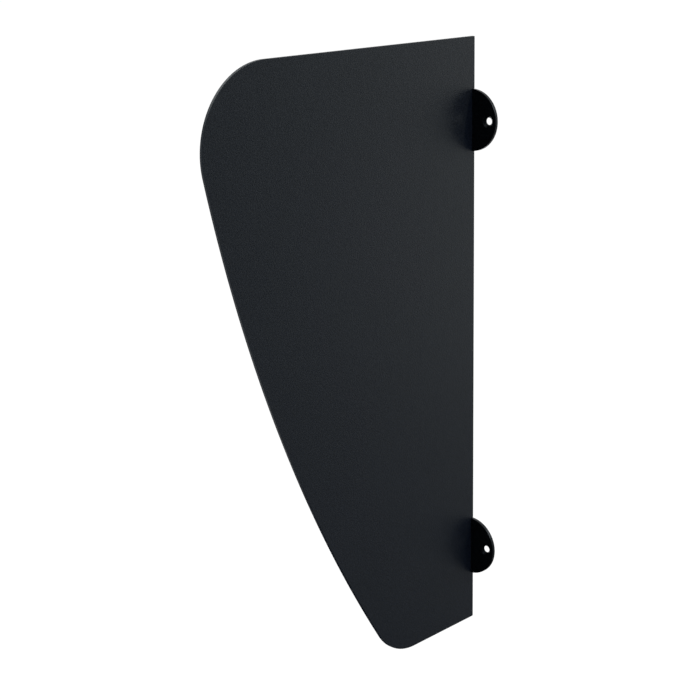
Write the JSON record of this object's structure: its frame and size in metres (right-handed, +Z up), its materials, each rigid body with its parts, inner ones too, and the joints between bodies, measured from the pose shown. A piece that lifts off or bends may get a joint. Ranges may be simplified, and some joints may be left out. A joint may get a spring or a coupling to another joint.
{
  "type": "urinal privacy screen",
  "caption": "Sail-shaped coated steel sheet that stands out from the wall beside a urinal as a privacy screen, on round screw-on wall flanges at its wall edge.",
  "frame": {"origin": "on the wall plane, in the middle of the four screw holes, which is the mid-height of the wall edge and the mid-plane of the sheet", "axes": "+Z up, +Y into the wall, so that the sheet reaches towards -Y, and X across the sheet's thickness"},
  "size_m": [0.06, 0.355, 0.6],
  "materials": {
    "coated_sheet": "fine-textured satin powder coat, near-black anthracite",
    "coated_flange": "fine-textured satin powder coat, near-black anthracite"
  },
  "bodies": {
    "root": {"screen_panel": "coated_sheet", "upper_wall_flange": "coated_flange", "lower_wall_flange": "coated_flange"}
  },
  "joints": []
}
